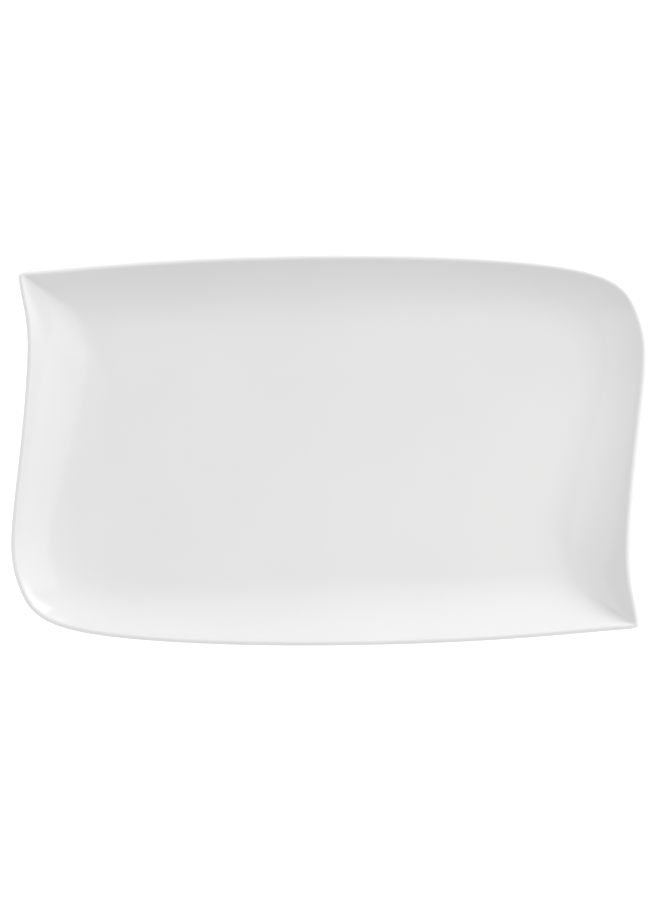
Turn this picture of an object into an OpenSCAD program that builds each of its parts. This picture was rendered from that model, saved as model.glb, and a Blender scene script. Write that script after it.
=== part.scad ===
// Wave-edged porcelain serving platter.
// The lip is one smooth closed wave: two long bowed sides, two raised pointed tips at opposite
// corners and two lower round corners between them. A curved wall falls from the lip to a flat
// well, and the platter stands on a foot ring with a support ring inside it.
// Origin: middle of the plane it stands on. X is the length, Y the width, Z up, in millimetres.

/* [Overall] */
// Length over the lip
platter_l = 355; // [290:1:430]
// Width over the lip
platter_w = 218; // [180:1:265]
// Height of the lip where it neither rises to a tip nor dips to a round corner
lip_h = 24; // [19:0.5:30]
// How much higher than that the two pointed tips stand
tip_rise = 5; // [0.5:0.5:8]
// How much lower than that the lip is at the two round corners
corner_dip = 4.5; // [0:0.5:6.5]

/* [Lip outline] */
// Distance of a pointed tip in from the end of the platter
tip_in = 3; // [1:0.5:6]
// Distance of a pointed tip down from the top of the bowed long side
tip_drop = 9; // [6:0.5:12]
// Length of the round corner, measured down the short side
corner_l = 45; // [36:1:54]
// How far in the waist of each short side lies from the end of the platter
waist_in = 11; // [8:0.5:14]

/* [Wall and well] */
// Thickness of the round lip, glaze included
lip_t = 3.6; // [3:0.1:4.4]
// Thickness of the well floor, glaze included
floor_t = 4.6; // [3.8:0.1:5.6]
// Width of the sloping wall at the round corners, from the lip to the flat of the well
wall_run = 36; // [30:1:43]
// Power of the wall's curve: 2 is a parabola, and more is steeper at the lip
wall_power = 2.5; // [2.1:0.1:2.9]
// How much that power grows towards the round corners and shrinks towards the tips
power_swing = 0.4; // [0:0.05:0.5]
// How far in the middle of each long side of the well lies from the well's corners
well_dip = 7; // [3:0.5:10]
// How far in the waist of each short side of the well lies from the well's ends
well_waist_in = 21; // [17:0.5:25]
// Length of the rounding of the well's corner beside each pointed tip
well_round = 31; // [25:1:37]
// Thickness of the glaze coat
glaze_t = 0.25; // [0.2:0.05:0.35]

/* [Foot] */
// Height of the foot, which is the depth of the recess inside it
foot_h = 4; // [3.4:0.1:5]
// Width of the foot ring, glaze included
foot_w = 5; // [4.2:0.1:6]
// Gap between the edge of the well's flat and the start of the foot's fillet
foot_in = 0.5; // [0.2:0.1:4]
// Radius of the fillets where the rings meet the underside
fillet_r = 1.5; // [1:0.1:1.6]
// Radius of the bottom edges of the rings
edge_r = 0.8; // [0.6:0.1:0.9]
// Size of the support ring, as a share of the well's outline
support_share = 0.42; // [0.35:0.01:0.5]
// Width of the support ring, glaze included
support_w = 4.2; // [3.8:0.1:5]
// How far the support ring stops short of the surface that the platter stands on
support_gap = 0.4; // [0.2:0.1:0.6]

/* [Backstamp] */
// Outer diameter of the plain ring printed on the underside
stamp_d = 30; // [24:1:36]
// Width of the printed line
stamp_line = 1.2; // [0.8:0.1:1.6]
// Clear space between the printed ring and the finer ring inside it
stamp_space = 1.6; // [1:0.1:2.2]
// Thickness of the printed colour
stamp_t = 0.1; // [0.05:0.05:0.15]

/* [Hidden] */

half_l = platter_l / 2;
half_w = platter_w / 2;
well_l = half_l - wall_run;
well_w = half_w - wall_run;
floor_z = foot_h + floor_t;

// Height of the ring faces that the glaze is wiped off, so that the rings don't stick in the kiln
dry_h = edge_r + 0.2;
wall_steps = 7;
fillet_steps = 2;
edge_steps = 2;

// On each short side: where the pull of the pointed tip ends, and where the bulge is fullest
lip_tip_y = half_w - tip_drop - 19;
lip_bulge_y = half_w - corner_l * 1.18;
well_tip_y = well_w - tip_drop - well_round + 7;
well_bulge_y = well_w - corner_l * 1.12;
// A place on the right side, by its share of the way from the bulge down to the next tip
function side_y(bulge_y, tip_y, share) = bulge_y - (bulge_y + tip_y) * share;

// Control points of the lip for its upper half, from the left tip round to the right waist.
// Each is x, y and height above lip_h.
lip_half = [
    [tip_in + 4 - half_l, lip_tip_y, tip_rise * 0.95],
    [tip_in - half_l, half_w - tip_drop, tip_rise * 1.1],
    [tip_in + 6 - half_l, half_w - tip_drop - 0.5, tip_rise * 0.8],
    [-half_l * 0.53, half_w - 2, tip_rise * 0.3],
    [0, half_w + 1, tip_rise * 0.3],
    [half_l * 0.46, half_w, -corner_dip * 0.6],
    [half_l - corner_l * 0.34, half_w - corner_l * 0.16, -corner_dip * 0.6],
    [half_l - 3, half_w - corner_l * 0.7, -corner_dip * 0.8],
    [half_l + 3, lip_bulge_y, -corner_dip * 1.1],
    [half_l - waist_in + 7, side_y(lip_bulge_y, lip_tip_y, 0.35), -corner_dip * 0.2],
    [half_l - waist_in, side_y(lip_bulge_y, lip_tip_y, 0.85), tip_rise]
];

// The wall's power at the same points: share of power_swing to add to wall_power
power_half = [-0.7, -1.2, -0.5, -0.1, 0, 0.5, 1, 0.1, 0, -0.1, -0.3];

// Points for the edge of the well's flat, in the same order. The wall between is narrowest at
// the round corners, and the well's own corners are rounder than the tips, so the fold that
// starts at each tip softens on its way in.
well_half = [
    [well_waist_in - well_l, well_tip_y, 0],
    [well_waist_in * 0.52 - well_l, well_w - 8.5, 0],
    [tip_in + 3 + well_round - well_l, well_w - 4, 0],
    [-well_l * 0.39, well_w - well_dip * 0.6, 0],
    [0, well_w - well_dip, 0],
    [well_l * 0.44, well_w - well_dip * 0.45, 0],
    [well_l - corner_l * 0.41, well_w + 1, 0],
    [well_l - 1, well_w - corner_l * 0.56, 0],
    [well_l - 2, well_bulge_y, 0],
    [well_l - well_waist_in * 0.77, side_y(well_bulge_y, well_tip_y, 0.37), 0],
    [well_l - well_waist_in * 0.95, side_y(well_bulge_y, well_tip_y, 0.7), 0]
];

// Facets along each span between control points: few where the side is nearly straight
span_facets = [2, 3, 3, 3, 3, 4, 5, 4, 3, 4, 4];

// The whole ring of control points: the lower half is the upper half turned by half a turn
function both_halves(points) = concat(points, [for (p = points) [-p.x, -p.y, p.z]]);

// Weights of the four nearest control points at share t of a span, for place and for direction
function place_weights(t) =
    [pow(1 - t, 3), 3 * pow(t, 3) - 6 * t * t + 4, -3 * pow(t, 3) + 3 * t * t + 3 * t + 1, pow(t, 3)] / 6;
function direction_weights(t) =
    [-pow(1 - t, 2), 3 * t * t - 4 * t, -3 * t * t + 2 * t + 1, t * t] / 2;

function weigh(points, span, weights) =
    let (count = len(points))
    weights[0] * points[(span + count - 1) % count] + weights[1] * points[span]
    + weights[2] * points[(span + 1) % count] + weights[3] * points[(span + 2) % count];

// The share of a span at every point of the curve, as pairs of span and share
stations = [
    for (span = [0 : 2 * len(span_facets) - 1])
        let (facets = span_facets[span % len(span_facets)])
            for (step = [0 : facets - 1]) [span, step / facets]
];
count = len(stations);

function curve(points) = [for (s = stations) weigh(points, s[0], place_weights(s[1]))];

// Unit vectors in the plane that point into the platter, square to the curve
function inward(points) = [
    for (s = stations)
        let (along = weigh(points, s[0], direction_weights(s[1])))
            [along.y, -along.x, 0] / norm([along.x, along.y])
];

function largest(points, axis) = max([for (p = points) p[axis]]);

// The lip's control points, stretched so that the lip just fills the platter's length, width
// and height
lip_raw = curve(both_halves(lip_half));
lip_scale = [
    half_l / largest(lip_raw, 0), half_w / largest(lip_raw, 1), tip_rise / largest(lip_raw, 2)
];
lip_points = [
    for (p = both_halves(lip_half))
        [p.x * lip_scale.x, p.y * lip_scale.y, lip_h + p.z * lip_scale.z]
];
lip = curve(lip_points);
power = [for (share = curve(concat(power_half, power_half))) wall_power + power_swing * share];
lip_inward = inward(lip_points);
well = curve(both_halves(well_half));

// Width of the wall at each point, square to the lip
wall_width = [for (i = [0 : count - 1]) (well[i] - lip[i]) * lip_inward[i]];

// The wall's middle line. At q = 0 it is the middle of the round lip, and at q = 1 the middle
// of the floor's thickness. Both functions work in the plane of the section: x is the distance
// in from the lip, and y the height.
function middle(i, q) =
    let (low = floor_z - floor_t / 2, high = lip[i].z - lip_t / 2)
    [lip_t / 2 + (wall_width[i] - lip_t / 2) * q, low + (high - low) * pow(1 - q, power[i])];
function middle_normal(i, q) =
    let (
        drop = lip[i].z - lip_t / 2 - floor_z + floor_t / 2,
        slope = drop * power[i] * pow(1 - q, power[i] - 1) / (wall_width[i] - lip_t / 2)
    )
    [slope, 1] / norm([slope, 1]);

// A point of the section, put back in space on the line from the lip to the well
function on_wall(i, at) =
    let (p = lip[i] + (well[i] - lip[i]) * at.x / wall_width[i])
    [p.x, p.y, at.y];

// Rows of points right round the platter. "skin" is how deep the row lies below the finished
// surface: 0 on the glaze, and glaze_t on the porcelain under it.
function wall_row(q, side, skin) = [
    for (i = [0 : count - 1])
        let (half_t = (lip_t + (floor_t - lip_t) * q) / 2 - skin)
            on_wall(i, middle(i, q) + middle_normal(i, q) * side * half_t)
];

// The round lip, from the inner face over the crest (90 degrees) and the outermost line (180
// degrees) to the outer face. The round starts and ends square to the middle line.
function cap_row(step, skin) = [
    for (i = [0 : count - 1])
        let (
            start = atan2(middle_normal(i, 0).y, middle_normal(i, 0).x),
            turns = [(start + 90) / 2, 90, 120, 150, 180, 180 + start / 2],
            a = turns[step]
        )
            on_wall(i, middle(i, 0) + [cos(a), sin(a)] * (lip_t / 2 - skin))
];

// A row of a ring whose outline is a share of the well's, drawn in by "inset" at its sides and
// ends. It is the same curve at another scale, so it can't fold in a tight corner.
function ring_row(share, inset, z) =
    let (x_scale = share - inset / well_l, y_scale = share - inset / well_w)
    [for (p = well) [p.x * x_scale, p.y * y_scale, z]];

// The two rings: share of the well's outline, insets of the outer and inner faces, bottom
foot = [1, foot_in + fillet_r, foot_in + fillet_r + foot_w, 0];
support = [support_share, 0, support_w, support_gap];

// The glazed faces of a ring, from the recess to the edge of the dry part, and back
function outer_face_rows(ring, skin) = concat(
    [
        for (k = [0 : fillet_steps])
            let (a = 90 - 90 * k / fillet_steps, r = fillet_r + skin)
                ring_row(ring[0], ring[1] - fillet_r + r * cos(a), foot_h - fillet_r + r * sin(a))
    ],
    [ring_row(ring[0], ring[1] + skin, ring[3] + dry_h)]
);
function inner_face_rows(ring, skin) = concat(
    [ring_row(ring[0], ring[2] - skin, ring[3] + dry_h)],
    [
        for (k = [0 : fillet_steps])
            let (a = 180 - 90 * k / fillet_steps, r = fillet_r + skin)
                ring_row(ring[0], ring[2] + fillet_r + r * cos(a), foot_h - fillet_r + r * sin(a))
    ]
);

// The dry part of a ring: two rounded edges and the flat that it stands on
function dry_rows(ring, skin) = concat(
    [
        for (k = [0 : edge_steps])
            let (a = 180 + 90 * k / edge_steps)
                ring_row(
                    ring[0], ring[1] + skin + edge_r * (1 + cos(a)), ring[3] + edge_r * (1 + sin(a))
                )
    ],
    [
        for (k = [0 : edge_steps])
            let (a = 270 + 90 * k / edge_steps)
                ring_row(
                    ring[0], ring[2] - skin - edge_r * (1 - cos(a)), ring[3] + edge_r * (1 + sin(a))
                )
    ]
);

// The three glazed regions, each from its first edge to its last
function face_region(skin) = concat(
    [for (k = [0 : wall_steps]) wall_row(1 - k / wall_steps, 1, skin)],
    [for (k = [0 : 5]) cap_row(k, skin)],
    [for (k = [0 : wall_steps]) wall_row(k / wall_steps, -1, skin)],
    outer_face_rows(foot, skin)
);
function recess_outer_region(skin) = concat(inner_face_rows(foot, skin), outer_face_rows(support, skin));
function recess_inner_region(skin) = inner_face_rows(support, skin);

// Two triangles between point j of rows a and b. The seam between them leans one way on a
// surface seen from outside and the other way on the same surface seen from inside.
function facet_pair(a, b, j, lean) =
    let (
        a0 = a * count + j, a1 = a * count + (j + 1) % count,
        b0 = b * count + j, b1 = b * count + (j + 1) % count
    )
    lean ? [[a0, b0, a1], [a1, b0, b1]] : [[a0, b1, a1], [a0, b0, b1]];

function bands(rows, first, last, lean) = [
    for (r = [first : 1 : last]) for (j = [0 : count - 1])
        for (f = facet_pair(r, (r + 1) % len(rows), j, lean)) f
];
function flat_points(rows) = [for (row = rows) for (p = row) p];

// A closed skin over rows, with a flat middle at its first and last row. The seams lean the
// other way from row "turn" on.
module capped_skin(rows, turn) {
    last = len(rows) - 1;
    first_middle = len(rows) * count;
    points = concat(flat_points(rows), [[0, 0, rows[0][0].z], [0, 0, rows[last][0].z]]);
    faces = concat(
        bands(rows, 0, turn - 1, false),
        bands(rows, turn, last - 1, true),
        [for (j = [0 : count - 1]) [first_middle, j, (j + 1) % count]],
        [
            for (j = [0 : count - 1])
                [first_middle + 1, last * count + (j + 1) % count, last * count + j]
        ]
    );
    polyhedron(points, faces);
}

// A closed skin over rows that run in a loop, from the last row back to the first
module looped_skin(rows, turn) {
    faces = concat(bands(rows, 0, turn - 1, false), bands(rows, turn, len(rows) - 1, true));
    polyhedron(flat_points(rows), faces);
}

function backwards(rows) = [for (k = [len(rows) - 1 : -1 : 0]) rows[k]];

// The fired porcelain: floor, wall, lip, foot ring and support ring in one piece
module porcelain_body() {
    rows = concat(
        face_region(glaze_t), dry_rows(foot, glaze_t),
        recess_outer_region(glaze_t), dry_rows(support, glaze_t),
        recess_inner_region(glaze_t)
    );
    color("ivory") capped_skin(rows, len(rows) - 1);
}

// The glaze over the well, the wall, the lip and the outside, down to the dry foot
module glaze_face() {
    over = face_region(0);
    color("white") capped_skin(concat(over, backwards(face_region(glaze_t))), len(over));
}

// The glaze on the underside, between the foot ring and the support ring
module glaze_recess_outer() {
    over = recess_outer_region(0);
    color("white") looped_skin(concat(over, backwards(recess_outer_region(glaze_t))), len(over));
}

// The glaze on the underside, inside the support ring
module glaze_recess_inner() {
    over = recess_inner_region(0);
    color("white") capped_skin(concat(backwards(recess_inner_region(glaze_t)), over), 0);
}

module printed_ring(d) {
    linear_extrude(stamp_t) difference() {
        circle(d = d, $fn = 72);
        circle(d = d - 2 * stamp_line, $fn = 72);
    }
}

// The printed mark: two plain rings on the glaze in the middle of the underside
module backstamp() {
    color("slategray") translate([0, 0, foot_h - stamp_t]) {
        printed_ring(stamp_d);
        printed_ring(stamp_d - 2 * stamp_line - 2 * stamp_space);
    }
}

porcelain_body();
glaze_face();
glaze_recess_outer();
glaze_recess_inner();
backstamp();
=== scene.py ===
"""Looks for the wave-edged porcelain serving platter: fine meshes, materials, light and camera."""
import math

import bpy
import numpy as np
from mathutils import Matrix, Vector


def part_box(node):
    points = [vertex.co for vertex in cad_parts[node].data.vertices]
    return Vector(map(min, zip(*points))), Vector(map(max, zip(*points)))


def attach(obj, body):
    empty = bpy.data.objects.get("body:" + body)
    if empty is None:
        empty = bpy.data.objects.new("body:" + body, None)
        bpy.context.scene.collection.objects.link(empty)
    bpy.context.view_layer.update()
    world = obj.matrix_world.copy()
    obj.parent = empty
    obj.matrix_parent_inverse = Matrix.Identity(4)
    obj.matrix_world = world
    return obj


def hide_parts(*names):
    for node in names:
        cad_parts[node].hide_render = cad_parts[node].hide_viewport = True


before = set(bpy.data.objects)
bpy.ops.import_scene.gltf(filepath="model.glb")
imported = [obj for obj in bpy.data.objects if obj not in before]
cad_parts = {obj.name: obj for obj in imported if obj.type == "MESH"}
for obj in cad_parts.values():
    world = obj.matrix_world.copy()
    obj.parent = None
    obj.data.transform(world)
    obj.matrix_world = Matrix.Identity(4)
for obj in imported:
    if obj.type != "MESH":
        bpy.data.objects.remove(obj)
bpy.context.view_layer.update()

MM = 0.001

# ---------------------------------------------------------------- sizes, in millimetres
# From the frame
GLAZE_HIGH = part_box("glaze_face")[1] / MM
BODY_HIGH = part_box("porcelain_body")[1] / MM
HALF_L, HALF_W, TIP_H = GLAZE_HIGH
GLAZE_T = HALF_L - BODY_HIGH.x
FOOT_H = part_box("backstamp")[1].z / MM
STAMP_T = FOOT_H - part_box("backstamp")[0].z / MM
STAMP_D = 2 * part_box("backstamp")[1].x / MM
DRY_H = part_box("glaze_face")[0].z / MM
SUPPORT_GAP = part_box("glaze_recess_inner")[0].z / MM - DRY_H

# The part's own values, as in its design
LIP_H = 24.0
CORNER_DIP = 4.5
TIP_IN = 3.0
TIP_DROP = 9.0
CORNER_L = 45.0
WAIST_IN = 11.0
LIP_T = 3.6
FLOOR_T = 4.6
WALL_RUN = 36.0
WALL_POWER = 2.5
POWER_SWING = 0.4
WELL_DIP = 7.0
WELL_WAIST_IN = 21.0
WELL_ROUND = 31.0
FOOT_W = 5.0
FOOT_IN = 0.5
FILLET_R = 1.5
EDGE_R = 0.8
SUPPORT_SHARE = 0.42
SUPPORT_W = 4.2
STAMP_LINE = 1.2
STAMP_SPACE = 1.6

FLOOR_Z = FOOT_H + FLOOR_T
WELL_L = HALF_L - WALL_RUN
WELL_W = HALF_W - WALL_RUN
TIP_RISE = TIP_H - LIP_H

# On each short side: where the pull of the pointed tip ends, and where the bulge is fullest
LIP_TIP_Y = HALF_W - TIP_DROP - 19
LIP_BULGE_Y = HALF_W - CORNER_L * 1.18
WELL_TIP_Y = WELL_W - TIP_DROP - WELL_ROUND + 7
WELL_BULGE_Y = WELL_W - CORNER_L * 1.12


def side_y(bulge_y, tip_y, share):
    """A place on the right side, by its share of the way from the bulge to the next tip."""
    return bulge_y - (bulge_y + tip_y) * share


# ---------------------------------------------------------------- the two outlines
# Control points of the upper half, from the left tip round to the right waist: x, y, and the
# height above LIP_H. The lower half is the same, turned half a turn.
LIP_HALF = [
    (TIP_IN + 4 - HALF_L, LIP_TIP_Y, TIP_RISE * 0.95),
    (TIP_IN - HALF_L, HALF_W - TIP_DROP, TIP_RISE * 1.1),
    (TIP_IN + 6 - HALF_L, HALF_W - TIP_DROP - 0.5, TIP_RISE * 0.8),
    (-HALF_L * 0.53, HALF_W - 2, TIP_RISE * 0.3),
    (0, HALF_W + 1, TIP_RISE * 0.3),
    (HALF_L * 0.46, HALF_W, -CORNER_DIP * 0.6),
    (HALF_L - CORNER_L * 0.34, HALF_W - CORNER_L * 0.16, -CORNER_DIP * 0.6),
    (HALF_L - 3, HALF_W - CORNER_L * 0.7, -CORNER_DIP * 0.8),
    (HALF_L + 3, LIP_BULGE_Y, -CORNER_DIP * 1.1),
    (HALF_L - WAIST_IN + 7, side_y(LIP_BULGE_Y, LIP_TIP_Y, 0.35), -CORNER_DIP * 0.2),
    (HALF_L - WAIST_IN, side_y(LIP_BULGE_Y, LIP_TIP_Y, 0.85), TIP_RISE),
]
# The wall's power at the same points: share of POWER_SWING to add to WALL_POWER
POWER_HALF = [-0.7, -1.2, -0.5, -0.1, 0, 0.5, 1, 0.1, 0, -0.1, -0.3]
WELL_HALF = [
    (WELL_WAIST_IN - WELL_L, WELL_TIP_Y, 0),
    (WELL_WAIST_IN * 0.52 - WELL_L, WELL_W - 8.5, 0),
    (TIP_IN + 3 + WELL_ROUND - WELL_L, WELL_W - 4, 0),
    (-WELL_L * 0.39, WELL_W - WELL_DIP * 0.6, 0),
    (0, WELL_W - WELL_DIP, 0),
    (WELL_L * 0.44, WELL_W - WELL_DIP * 0.45, 0),
    (WELL_L - CORNER_L * 0.41, WELL_W + 1, 0),
    (WELL_L - 1, WELL_W - CORNER_L * 0.56, 0),
    (WELL_L - 2, WELL_BULGE_Y, 0),
    (WELL_L - WELL_WAIST_IN * 0.77, side_y(WELL_BULGE_Y, WELL_TIP_Y, 0.37), 0),
    (WELL_L - WELL_WAIST_IN * 0.95, side_y(WELL_BULGE_Y, WELL_TIP_Y, 0.7), 0),
]
# Facets along each span between control points of half the curve
SPAN_FACETS = [16, 20, 20, 18, 18, 22, 26, 22, 18, 22, 22]


def both_halves(points):
    half = np.array(points, float)
    return np.concatenate([half, half * (-1, -1, 1)])


def stations():
    """Span number and share of the span, at every point round the curve."""
    spans, shares = [], []
    for span, facets in enumerate(SPAN_FACETS * 2):
        spans += [span] * facets
        shares += [step / facets for step in range(facets)]
    return np.array(spans), np.array(shares)


SPANS, SHARES = stations()
COUNT = len(SPANS)


def weigh(points, weights):
    near = [points[(SPANS + k) % len(points)] for k in (-1, 0, 1, 2)]
    return sum(w[:, None] * p for w, p in zip(weights, near))


def curve(points):
    """The closed cubic curve that the control points pull on."""
    t = SHARES
    return weigh(points, [(1 - t) ** 3 / 6, (3 * t**3 - 6 * t**2 + 4) / 6,
                          (-3 * t**3 + 3 * t**2 + 3 * t + 1) / 6, t**3 / 6])


def inward(points):
    """Unit vectors in the plane, square to the curve, that point into the platter."""
    t = SHARES
    along = weigh(points, [-(1 - t) ** 2 / 2, (3 * t**2 - 4 * t) / 2,
                           (-3 * t**2 + 2 * t + 1) / 2, t**2 / 2])
    square = np.stack([along[:, 1], -along[:, 0], np.zeros(COUNT)], 1)
    return square / np.linalg.norm(square, axis=1, keepdims=True)


lip_control = both_halves(LIP_HALF)
lip_control *= (HALF_L, HALF_W, TIP_RISE) / curve(lip_control).max(axis=0)
lip_control += (0, 0, LIP_H)
well_control = both_halves(WELL_HALF)
LIP, LIP_INWARD = curve(lip_control), inward(lip_control)
WELL = curve(well_control)
WALL_WIDTH = ((WELL - LIP) * LIP_INWARD).sum(axis=1)
POWER = WALL_POWER + POWER_SWING * curve(np.array(POWER_HALF * 2)[:, None])[:, 0]

# ---------------------------------------------------------------- rows of points round the platter
MIDDLE_LOW = FLOOR_Z - FLOOR_T / 2
MIDDLE_HIGH = LIP[:, 2] - LIP_T / 2
MIDDLE_RUN = WALL_WIDTH - LIP_T / 2


def middle(q):
    """The wall's middle line, from the round lip at 0 to the floor at 1: distance in, height."""
    return np.stack([LIP_T / 2 + MIDDLE_RUN * q,
                     MIDDLE_LOW + (MIDDLE_HIGH - MIDDLE_LOW) * (1 - q) ** POWER], 1)


def middle_normal(q):
    slope = (MIDDLE_HIGH - MIDDLE_LOW) * POWER * (1 - q) ** (POWER - 1) / MIDDLE_RUN
    normal = np.stack([slope, np.ones(COUNT)], 1)
    return normal / np.linalg.norm(normal, axis=1, keepdims=True)


def on_wall(section):
    """Points of the section, put back in space on the lines from the lip to the well."""
    row = LIP + (WELL - LIP) * (section[:, 0] / WALL_WIDTH)[:, None]
    row[:, 2] = section[:, 1]
    return row


def wall_row(q, side, skin):
    half_t = (LIP_T + (FLOOR_T - LIP_T) * q) / 2 - skin
    return on_wall(middle(q) + middle_normal(q) * side * half_t)


def cap_row(share, skin):
    """A row of the round lip: share 0 meets the inner face of the wall and 1 the outer face."""
    normal = middle_normal(0)
    angle = np.arctan2(normal[:, 1], normal[:, 0]) + math.pi * share
    return on_wall(middle(0) + np.stack([np.cos(angle), np.sin(angle)], 1) * (LIP_T / 2 - skin))


def ring_row(share, inset, z):
    row = WELL * (share - inset / WELL_L, share - inset / WELL_W, 1)
    row[:, 2] = z
    return row


def shares(steps, start=0):
    return [k / steps for k in range(start, steps + 1)]


# Each ring: share of the well's outline, inset of its outer and its inner face, its bottom
FOOT = (1, FOOT_IN + FILLET_R, FOOT_IN + FILLET_R + FOOT_W, 0)
SUPPORT = (SUPPORT_SHARE, 0, SUPPORT_W, SUPPORT_GAP)

# Where the glaze stops on a ring it swells a little and rolls in to the dry porcelain: height
# above the dry part, and depth below the glaze's usual surface, as a share of its thickness
GLAZE_ROLL = [(0.9, 0), (0.6, -0.2), (0.4, -0.35), (0.25, -0.3), (0.12, 0), (0.04, 0.45)]


def face_rows(ring, skin, steps, outer):
    """Rows of a ring's glazed face, from the recess down to the dry part."""
    share, low_inset, high_inset, bottom = ring
    way = 1 if outer else -1
    face = low_inset if outer else high_inset
    rows = []
    for s in shares(steps):
        a, r = math.pi / 2 * (1 - s), FILLET_R + skin
        rows.append(ring_row(share, face + way * (r * math.cos(a) - FILLET_R),
                             FOOT_H - FILLET_R + r * math.sin(a)))
    if skin == 0:
        for height, depth in GLAZE_ROLL:
            rows.append(ring_row(share, face + way * depth * GLAZE_T, bottom + DRY_H + height))
    else:
        rows.append(ring_row(share, face + way * skin, bottom + DRY_H))
    return rows


def dry_rows(ring, steps):
    """Rows of a ring's dry part: a rounded edge, the flat it stands on, a rounded edge."""
    share, low_inset, high_inset, bottom = ring
    rows = []
    for s in shares(steps):
        a = math.pi / 2 * s
        rows.append(ring_row(share, low_inset + GLAZE_T + EDGE_R * (1 - math.cos(a)),
                             bottom + EDGE_R * (1 - math.sin(a))))
    for s in shares(steps):
        a = math.pi / 2 * s
        rows.append(ring_row(share, high_inset - GLAZE_T - EDGE_R * (1 - math.sin(a)),
                             bottom + EDGE_R * (1 - math.cos(a))))
    return rows


def face_region(skin, wall_steps, cap_steps, fillet_steps):
    rows = [wall_row(1 - s, 1, skin) for s in shares(wall_steps)]
    rows += [cap_row(s, skin) for s in shares(cap_steps, 1)[:-1]]
    rows += [wall_row(s, -1, skin) for s in shares(wall_steps)]
    return rows + face_rows(FOOT, skin, fillet_steps, True)


def recess_outer_region(skin, fillet_steps):
    return (face_rows(FOOT, skin, fillet_steps, False)[::-1]
            + face_rows(SUPPORT, skin, fillet_steps, True))


def recess_inner_region(skin, fillet_steps):
    return face_rows(SUPPORT, skin, fillet_steps, False)[::-1]


# ---------------------------------------------------------------- meshes
SHARP_ANGLE = math.radians(40)
FLAT_RINGS = 6


def bands(first_row, last_row):
    """Quads between neighbouring rows."""
    j = np.arange(COUNT)
    k = (j + 1) % COUNT
    return [quad for r in range(first_row, last_row)
            for quad in zip(r * COUNT + j, (r + 1) * COUNT + j, (r + 1) * COUNT + k,
                            r * COUNT + k)]


def flat_rows(edge):
    """Rows that shrink from a flat region's edge towards the middle, without the edge itself."""
    rows = []
    for s in shares(FLAT_RINGS)[1:-1]:
        row = edge * (1 - s)
        row[:, 2] = edge[:, 2]
        rows.append(row)
    return rows


def new_piece(name, points, faces, material, slot, nodes):
    mesh = bpy.data.meshes.new(name)
    mesh.from_pydata([tuple(p) for p in np.array(points) * MM], [], [tuple(f) for f in faces])
    mesh.validate()
    mesh.update()
    mesh.shade_smooth()
    mesh.set_sharp_from_angle(angle=SHARP_ANGLE)
    mesh.materials.append(material)
    piece = bpy.data.objects.new(name, mesh)
    bpy.context.scene.collection.objects.link(piece)
    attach(piece, "root")
    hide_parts(*nodes)
    return piece


def capped_faces(rows):
    """Rows from one flat middle to the other, and the faces of the closed skin over them."""
    rows = flat_rows(rows[0])[::-1] + rows + flat_rows(rows[-1])
    points = [p for row in rows for p in row]
    first, last = len(points), (len(rows) - 1) * COUNT
    points += [(0, 0, rows[0][0][2]), (0, 0, rows[-1][0][2])]
    faces = bands(0, len(rows) - 1)
    for j in range(COUNT):
        k = (j + 1) % COUNT
        faces.append((first, j, k))
        faces.append((first + 1, last + k, last + j))
    return points, faces


def looped_faces(rows):
    """The faces of the closed skin over rows that run in a loop."""
    points = [p for row in rows for p in row]
    wrapped = bands(0, len(rows))
    return points, [tuple(v % len(points) for v in f) for f in wrapped]


# ---------------------------------------------------------------- materials
def new_material(name):
    material = bpy.data.materials.new(name)
    material.use_nodes = True
    tree = material.node_tree
    return material, tree, tree.nodes["Principled BSDF"]


def add(tree, kind, **values):
    """A node, with its settings and the values of its inputs."""
    node = tree.nodes.new(kind)
    for key, value in values.items():
        if hasattr(node, key):
            setattr(node, key, value)
        else:
            node.inputs[key.replace("_", " ")].default_value = value
    return node


def noise(tree, scale, detail=2.0):
    """Noise in the object's own space, in metres, with this many waves to a metre."""
    place = add(tree, "ShaderNodeTexCoord")
    node = add(tree, "ShaderNodeTexNoise", Scale=scale, Detail=detail)
    tree.links.new(place.outputs["Object"], node.inputs["Vector"])
    return node.outputs["Fac"]


def spread(tree, value, low, high):
    """value, from 0.3 to 0.7, spread from low to high."""
    node = add(tree, "ShaderNodeMapRange", From_Min=0.3, From_Max=0.7, To_Min=low, To_Max=high)
    tree.links.new(value, node.inputs["Value"])
    return node.outputs["Result"]


def tint(tree, value, low, high):
    """A colour between low and high, by value."""
    ramp = add(tree, "ShaderNodeValToRGB")
    ramp.color_ramp.elements[0].position = 0.3
    ramp.color_ramp.elements[0].color = (*low, 1)
    ramp.color_ramp.elements[1].position = 0.7
    ramp.color_ramp.elements[1].color = (*high, 1)
    tree.links.new(value, ramp.inputs["Fac"])
    return ramp.outputs["Color"]


def bump(tree, value, depth, below=None):
    """A bump from value that is this deep, in metres, on top of another bump."""
    node = add(tree, "ShaderNodeBump", Strength=1.0, Distance=depth)
    tree.links.new(value, node.inputs["Height"])
    if below is not None:
        tree.links.new(below, node.inputs["Normal"])
    return node.outputs["Normal"]


def glaze_material():
    """Clear glaze over white porcelain: even, glossy, with the slight waves of a fired coat."""
    material, tree, shader = new_material("white_glaze")
    shader.inputs["IOR"].default_value = 1.5
    shader.inputs["Specular IOR Level"].default_value = 0.5
    colour = tint(tree, noise(tree, 14, 3), (0.865, 0.867, 0.866), (0.885, 0.885, 0.882))
    tree.links.new(colour, shader.inputs["Base Color"])
    tree.links.new(spread(tree, noise(tree, 60, 4), 0.11, 0.17), shader.inputs["Roughness"])
    waves = bump(tree, noise(tree, 28, 1), 0.00006)
    peel = bump(tree, noise(tree, 420, 2), 0.000003, waves)
    tree.links.new(peel, shader.inputs["Normal"])
    return material


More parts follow.
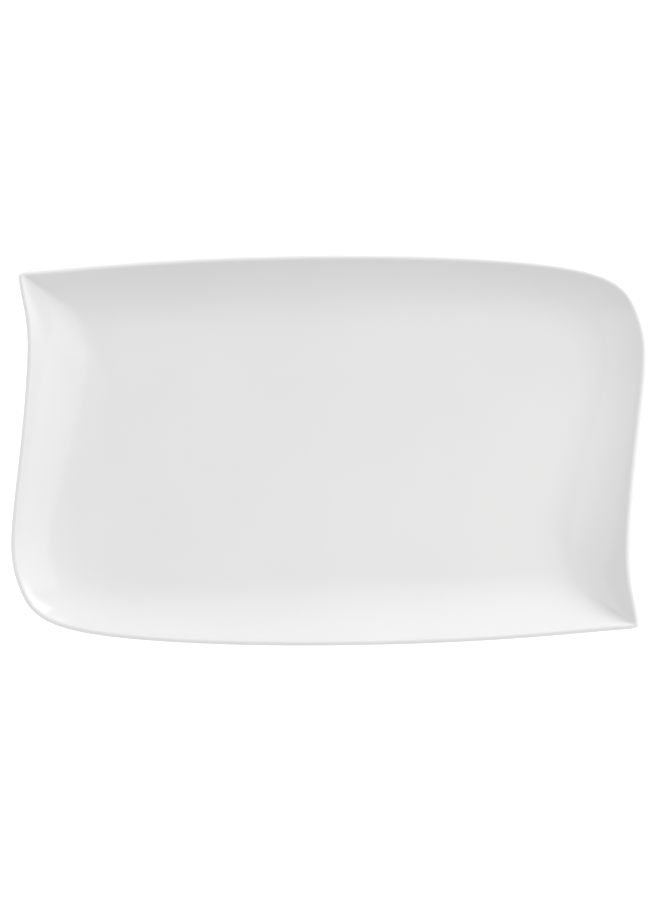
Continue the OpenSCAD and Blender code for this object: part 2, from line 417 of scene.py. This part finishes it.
def biscuit_material():
    """Bare fired porcelain: chalky, slightly warm, with a fine grain."""
    material, tree, shader = new_material("dry_porcelain")
    colour = tint(tree, noise(tree, 500, 6), (0.80, 0.775, 0.725), (0.90, 0.885, 0.85))
    tree.links.new(colour, shader.inputs["Base Color"])
    tree.links.new(spread(tree, noise(tree, 900, 4), 0.6, 0.85), shader.inputs["Roughness"])
    grain = bump(tree, noise(tree, 2600, 6), 0.00005)
    tree.links.new(grain, shader.inputs["Normal"])
    return material


def stamp_material():
    """Ceramic colour, fired on to the glaze: a little uneven where the print is thin."""
    material, tree, shader = new_material("stamp_colour")
    colour = tint(tree, noise(tree, 700, 5), (0.10, 0.12, 0.15), (0.20, 0.23, 0.27))
    tree.links.new(colour, shader.inputs["Base Color"])
    tree.links.new(spread(tree, noise(tree, 900, 3), 0.25, 0.4), shader.inputs["Roughness"])
    return material


# ---------------------------------------------------------------- the pieces
WALL_STEPS, CAP_STEPS, FILLET_STEPS, EDGE_STEPS = 48, 22, 8, 8
# Steps of the wall, the round lip and the fillets on the hidden faces between glaze and porcelain
HIDDEN_STEPS = (16, 8, 4)
STAMP_FACETS = 160


def make_glaze_face(material):
    rows = face_region(0, WALL_STEPS, CAP_STEPS, FILLET_STEPS)
    rows += face_region(GLAZE_T, *HIDDEN_STEPS)[::-1]
    new_piece("glaze_over_face", *capped_faces(rows), material, "glaze", ["glaze_face"])


def make_glaze_recess_outer(material):
    rows = recess_outer_region(0, FILLET_STEPS)
    rows += recess_outer_region(GLAZE_T, HIDDEN_STEPS[2])[::-1]
    new_piece("glaze_round_recess", *looped_faces(rows), material, "glaze",
              ["glaze_recess_outer"])


def make_glaze_recess_inner(material):
    rows = recess_inner_region(GLAZE_T, HIDDEN_STEPS[2])[::-1]
    rows += recess_inner_region(0, FILLET_STEPS)
    new_piece("glaze_inside_support", *capped_faces(rows), material, "glaze",
              ["glaze_recess_inner"])


def make_body(material):
    fillet_steps = HIDDEN_STEPS[2]
    rows = face_region(GLAZE_T, *HIDDEN_STEPS)
    rows += dry_rows(FOOT, EDGE_STEPS)
    rows += recess_outer_region(GLAZE_T, fillet_steps)
    rows += dry_rows(SUPPORT, EDGE_STEPS)
    rows += recess_inner_region(GLAZE_T, fillet_steps)
    new_piece("fired_porcelain", *capped_faces(rows), material, "biscuit", ["porcelain_body"])


def make_stamp(material):
    """Two rings of colour with soft edges, on the glaze of the underside."""
    points, faces = [], []
    section = [(0, 0), (0.12, 0.6), (0.3, 1), (0.7, 1), (0.88, 0.6), (1, 0)]
    for outer in (STAMP_D / 2, STAMP_D / 2 - STAMP_LINE - STAMP_SPACE):
        start = len(points)
        for j in range(STAMP_FACETS):
            a = 2 * math.pi * j / STAMP_FACETS
            for share, depth in section:
                r = outer - STAMP_LINE * share
                points.append((r * math.cos(a), r * math.sin(a), FOOT_H - STAMP_T * depth))
        for j in range(STAMP_FACETS):
            for k in range(len(section)):
                a0, b0 = j * len(section), (j + 1) % STAMP_FACETS * len(section)
                k1 = (k + 1) % len(section)
                faces.append([start + v for v in (a0 + k, b0 + k, b0 + k1, a0 + k1)])
    new_piece("printed_rings", points, faces, material, "stamp_ink", ["backstamp"])


# ---------------------------------------------------------------- floor, light and camera
CAMERA_HEIGHT = 1.414
CAMERA_ASIDE = 0.0006
LENS = 100
WORLD_LIGHT = 0.554
SHEET_GLOW = 0.45
# Each softbox: name, azimuth (0 is +X and 90 is +Y) and elevation in degrees, its distance from
# the platter, width and height in metres, and power in watts
SOFTBOXES = [
    ("low_strip", 70, 8, 1.6, 0.5, 0.2, 4.6),
    ("front_panel", 45, 23, 1.6, 1.1, 0.6, 6.9),
    ("right_panel", 0, 45, 2.2, 2, 2, 11.3),
    ("left_panel", 180, 45, 2.2, 2, 2, 9),
]


def make_floor():
    """A pale sheet, lit from under as a light table is. Seen from below it isn't there."""
    bpy.ops.mesh.primitive_plane_add(size=8, location=(0, 0, 0))
    floor = bpy.context.object
    floor.name = "floor"
    material, tree, shader = new_material("white_sheet")
    shader.inputs["Base Color"].default_value = (0.93, 0.93, 0.93, 1)
    shader.inputs["Roughness"].default_value = 0.9
    shader.inputs["Specular IOR Level"].default_value = 0.1
    shader.inputs["Emission Color"].default_value = (1, 1, 1, 1)
    shader.inputs["Emission Strength"].default_value = SHEET_GLOW
    geometry = add(tree, "ShaderNodeNewGeometry")
    clear = add(tree, "ShaderNodeBsdfTransparent")
    mix = add(tree, "ShaderNodeMixShader")
    tree.links.new(geometry.outputs["Backfacing"], mix.inputs["Fac"])
    tree.links.new(shader.outputs["BSDF"], mix.inputs[1])
    tree.links.new(clear.outputs["BSDF"], mix.inputs[2])
    tree.links.new(mix.outputs["Shader"], tree.nodes["Material Output"].inputs["Surface"])
    floor.data.materials.append(material)


def make_softbox(name, azimuth, elevation, distance, width, height, power):
    """A softbox that looks at the platter's middle."""
    a, e = math.radians(azimuth), math.radians(elevation)
    place = Vector((math.cos(a) * math.cos(e), math.sin(a) * math.cos(e), math.sin(e))) * distance
    data = bpy.data.lights.new(name, "AREA")
    data.shape = "RECTANGLE"
    data.size = width
    data.size_y = height
    data.energy = power
    lamp = bpy.data.objects.new(name, data)
    lamp.location = place
    lamp.rotation_euler = (-place).to_track_quat("-Z", "Y").to_euler()
    bpy.context.scene.collection.objects.link(lamp)


def make_world():
    world = bpy.data.worlds.new("studio")
    world.use_nodes = True
    back = world.node_tree.nodes["Background"]
    back.inputs["Color"].default_value = (1, 1, 1, 1)
    back.inputs["Strength"].default_value = WORLD_LIGHT
    bpy.context.scene.world = world


def make_camera():
    data = bpy.data.cameras.new("camera")
    data.lens = LENS
    data.sensor_width = 36
    data.clip_end = 50
    camera = bpy.data.objects.new("camera", data)
    camera.location = (CAMERA_ASIDE, 0, CAMERA_HEIGHT)
    bpy.context.scene.collection.objects.link(camera)
    bpy.context.scene.camera = camera


glaze = glaze_material()
make_glaze_face(glaze)
make_glaze_recess_outer(glaze)
make_glaze_recess_inner(glaze)
make_body(biscuit_material())
make_stamp(stamp_material())
make_floor()
make_world()
for softbox in SOFTBOXES:
    make_softbox(*softbox)
make_camera()
bpy.context.scene.view_settings.view_transform = "Standard"
bpy.context.scene.view_settings.look = "None"
